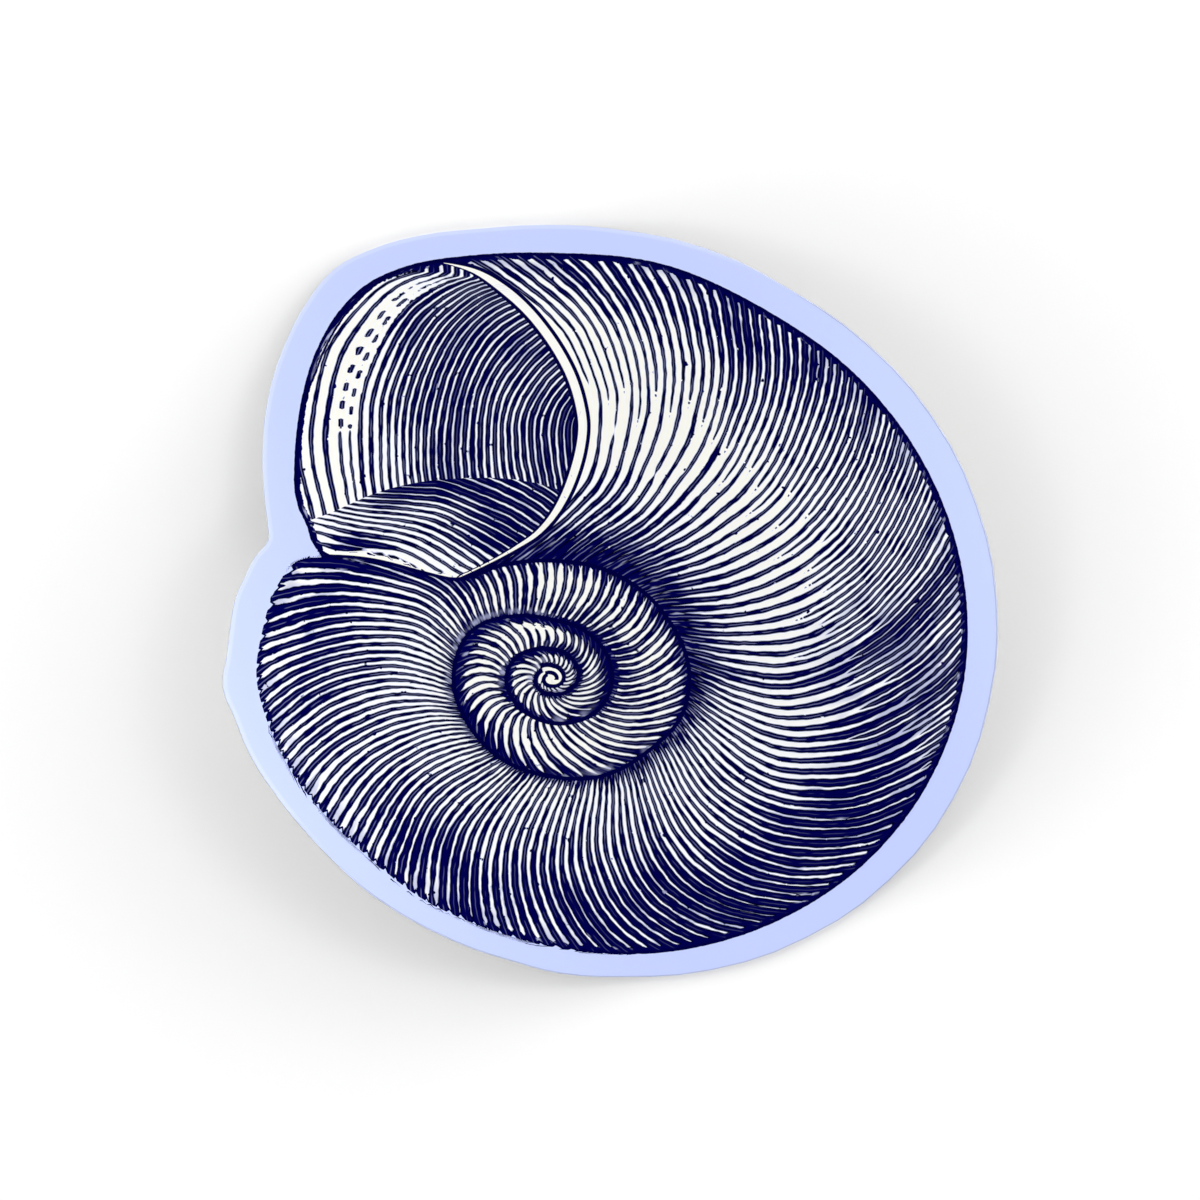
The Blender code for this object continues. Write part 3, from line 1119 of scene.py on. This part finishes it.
def sheet_material(name, colour, roughness, scale, height, dark=None):
    """A plain sheet whose gloss varies a little over its grain, and its colour if dark is given."""
    material, graph, shader = new_material(name)
    grain = graph.group(shared_group("Sheet grain", sheet_grain), Scale=scale, Height=height)
    if dark is not None:
        colour = grain["Mottle"].ramp(0.3, 0.7).blend(dark, colour)
    graph.feed(shader.inputs["Base Color"], colour)
    graph.feed(shader.inputs["Roughness"], grain["Mottle"] * 0.1 + (roughness - 0.05))
    graph.feed(shader.inputs["Normal"], grain["Normal"])
    return material


# -------------------- settings and operators

def colour_setting(name, description, colour):
    return FloatVectorProperty(
        name=name, description=description, subtype="COLOR", size=4, min=0, max=1,
        default=(*colour, 1.0),
    )


def length_setting(name, description, millimetres):
    return FloatProperty(
        name=name, description=description, default=millimetres * MM, min=0, unit="LENGTH",
        precision=5,
    )


class StickerSizes(PropertyGroup):
    """The sizes of the sheets' fine meshes."""

    film: length_setting("Film", "Thickness of the vinyl film", 0.15)
    paper: length_setting("Paper", "Thickness of the release paper", 0.20)
    film_cell: length_setting("Film cell", "Width of the cells that carry the print", 0.5)
    paper_cell: length_setting("Paper cell", "Width of the release paper's cells", 1.5)
    apex_reach: length_setting("Apex reach", "How far from the coil's middle cells are halved", 9.0)


class StickerColours(PropertyGroup):
    """The colours of the print and of the sheets."""

    ink: colour_setting("Ink", "Navy ink inside a stroke", (0.0, 0.0, 0.062))
    ink_edge: colour_setting("Ink edge", "Darker ink along a stroke's edge", (0.0, 0.0, 0.012))
    contour: colour_setting("Contour", "Ink of the contours", (0.0, 0.0, 0.04))
    white: colour_setting("White", "Bare white beside the strokes", (0.83, 0.84, 0.87))
    cream: colour_setting("Cream", "Cream in the open gaps", (0.84, 0.83, 0.76))
    smear: colour_setting("Smear", "Ink smeared thin between crowded strokes", (0.35, 0.37, 0.56))
    fringe: colour_setting("Fringe", "Ink spread thin just outside a stroke", (0.28, 0.32, 0.58))
    streak: colour_setting("Streak", "Thin scratch along the middle of a stroke", (0.15, 0.16, 0.31))
    border: colour_setting("Border", "Lavender blue border", (0.50, 0.572, 0.91))
    # Painted highlight along the cut at the upper left, on the side where the light comes from.
    edge_highlight: colour_setting("Bare", "Bare vinyl where the print stops short of the cut", (0.64, 0.70, 0.97))
    # Darker than white vinyl, as painted shade: it colours the cut edge and the painted shade line along
    # the cut.
    vinyl: colour_setting("Vinyl", "Vinyl at the cut edge", (0.36, 0.41, 0.62))
    adhesive: colour_setting("Adhesive", "Adhesive under the film", (0.62, 0.62, 0.60))
    # Grey rather than the paper's white, as painted shade on the paper's cut edge.
    paper: colour_setting("Paper", "Release paper at its cut edge", (0.42, 0.42, 0.43))
    back: colour_setting("Paper back", "Underside of the release paper", (0.315, 0.315, 0.31))


class StickerStage(PropertyGroup):
    """The floor, the lights and the camera."""

    distance: length_setting("Camera distance", "Height of the camera above the floor", 2600)
    view: length_setting("View", "Width of the floor that the camera sees", 136.8)
    overhead: FloatProperty(name="Overhead light", description="Strength of the light from above",
                            default=0.30, min=0)
    sky: FloatProperty(name="Sky", description="Strength of the soft light from all round",
                       default=1.0, min=0)


class STICKER_OT_add_film(Operator):
    """Add the printed vinyl film"""

    bl_idname = "sticker.add_film"
    bl_label = "Add printed film"

    def execute(self, context):
        sizes = context.scene.sticker_sizes
        colours = context.scene.sticker_colours
        film = outline_sheet("printed_film", "vinyl_film")
        corners = [film.data.vertices[i].co for i in film.data.polygons[0].vertices]
        cut_edge = np.array(corners)[:, :2].astype(float) / MM
        cut_into_grid(film, sizes.film_cell)
        cut_finer(film, Vector((*COIL_MIDDLE, 0)) * MM, sizes.apex_reach)
        draw_mouth(film.data, cut_edge)
        draw_whorls(film.data)
        curl(film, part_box("vinyl_film")[0][2])
        thicken(film, sizes.film)
        add_bake_map(film)
        # The cut edge's darkened vinyl colour is painted shade.
        cut_side = sheet_material("vinyl cut edge", colours.vinyl, 0.5, 3.0, 0.01)
        underside = sheet_material("film adhesive", colours.adhesive, 0.3, 1.0, 0.01)
        for material in (print_material(colours), cut_side, underside):
            film.data.materials.append(material)
        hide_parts("vinyl_film")
        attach(film, "root")
        return {"FINISHED"}


class STICKER_OT_add_paper(Operator):
    """Add the release paper behind the film"""

    bl_idname = "sticker.add_paper"
    bl_label = "Add release paper"

    def execute(self, context):
        sizes = context.scene.sticker_sizes
        colours = context.scene.sticker_colours
        paper = outline_sheet("release_paper", "backing_paper")
        cut_into_grid(paper, sizes.paper_cell)
        curl(paper, 0.0)
        thicken(paper, sizes.paper)
        # The grey paper colour, darkened as painted shade, goes on the paper's cut edge and on its
        # hidden top.
        silicone = sheet_material("release coat", colours.paper, 0.3, 2.5, 0.01)
        cut_side = sheet_material("release paper", colours.paper, 0.6, 2.5, 0.02)
        dark = [DARK_GRAIN * value for value in colours.back]
        back = sheet_material("release paper back", colours.back, 0.6, 2.5, 0.02, dark)
        for material in (silicone, cut_side, back):
            paper.data.materials.append(material)
        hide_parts("backing_paper")
        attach(paper, "root")
        return {"FINISHED"}


def add_floor():
    """The plain pale floor at the height that the frame rests on."""
    bpy.ops.mesh.primitive_plane_add(size=FLOOR_SIZE, location=(0, 0, CAD_BOX[0][2]))
    floor = bpy.context.object
    floor.name = "floor"
    material, _, shader = new_material("pale floor")
    shader.inputs["Base Color"].default_value = FLOOR_COLOUR
    shader.inputs["Roughness"].default_value = 0.9
    shader.inputs["Specular IOR Level"].default_value = 0.0
    floor.data.materials.append(material)


def add_sky(scene, strength):
    """Soft light from a low and a high ring all round, stronger behind the top of the print."""
    world = bpy.data.worlds.new("pale studio")
    world.use_nodes = True
    graph = Graph(world.node_tree)
    _, back, height = graph.node("TexCoord", {}, "Generated").split()
    low_ring = height.ramp(0.46, 0.28) * 4.4
    high_ring = height.band(0.44, 0.58, 0.62, 0.76) * 2.1
    light = (low_ring + high_ring) * (back * 0.26 + 1.0)
    background = world.node_tree.nodes["Background"]
    graph.feed(background.inputs["Color"], graph.join(light, light, light))
    background.inputs["Strength"].default_value = strength
    scene.world = world


class STICKER_OT_add_stage(Operator):
    """Add the floor, the lights and the camera"""

    bl_idname = "sticker.add_stage"
    bl_label = "Add stage"

    def execute(self, context):
        scene = context.scene
        settings = scene.sticker_stage
        scene.view_settings.view_transform = "Standard"
        add_floor()
        bpy.ops.object.light_add(type="SUN", location=(0, 0, settings.distance))
        overhead = context.object
        overhead.name = "overhead light"
        overhead.data.energy = settings.overhead
        overhead.data.angle = OVERHEAD_ANGLE
        add_sky(scene, settings.sky)

        view_middle = Vector(VIEW_MIDDLE) * MM
        bpy.ops.object.camera_add(location=(*view_middle, settings.distance))
        camera = context.object
        camera.name = "camera"
        camera.data.sensor_width = SENSOR_WIDTH
        camera.data.lens = SENSOR_WIDTH * settings.distance / settings.view
        camera.data.clip_end = VIEW_END
        scene.camera = camera
        return {"FINISHED"}


class STICKER_PT_parts(Panel):
    """Lists the sticker's sheets and its stage"""

    bl_idname = "STICKER_PT_parts"
    bl_label = "Sticker"
    bl_space_type = "VIEW_3D"
    bl_region_type = "UI"
    bl_category = "Sticker"

    def draw(self, context):
        scene = context.scene
        for operator in OPERATORS:
            self.layout.operator(operator.bl_idname)
        for settings in (scene.sticker_sizes, scene.sticker_colours, scene.sticker_stage):
            box = self.layout.box()
            for key in settings.__annotations__:
                box.prop(settings, key)


OPERATORS = (STICKER_OT_add_film, STICKER_OT_add_paper, STICKER_OT_add_stage)
CLASSES = (StickerSizes, StickerColours, StickerStage, *OPERATORS, STICKER_PT_parts)


def register():
    for cls in CLASSES:
        bpy.utils.register_class(cls)
    bpy.types.Scene.sticker_sizes = PointerProperty(type=StickerSizes)
    bpy.types.Scene.sticker_colours = PointerProperty(type=StickerColours)
    bpy.types.Scene.sticker_stage = PointerProperty(type=StickerStage)


def unregister():
    del bpy.types.Scene.sticker_stage
    del bpy.types.Scene.sticker_colours
    del bpy.types.Scene.sticker_sizes
    for cls in reversed(CLASSES):
        bpy.utils.unregister_class(cls)


def main():
    register()
    bpy.ops.sticker.add_film()
    bpy.ops.sticker.add_paper()
    bpy.ops.sticker.add_stage()


if __name__ == "__main__":
    main()
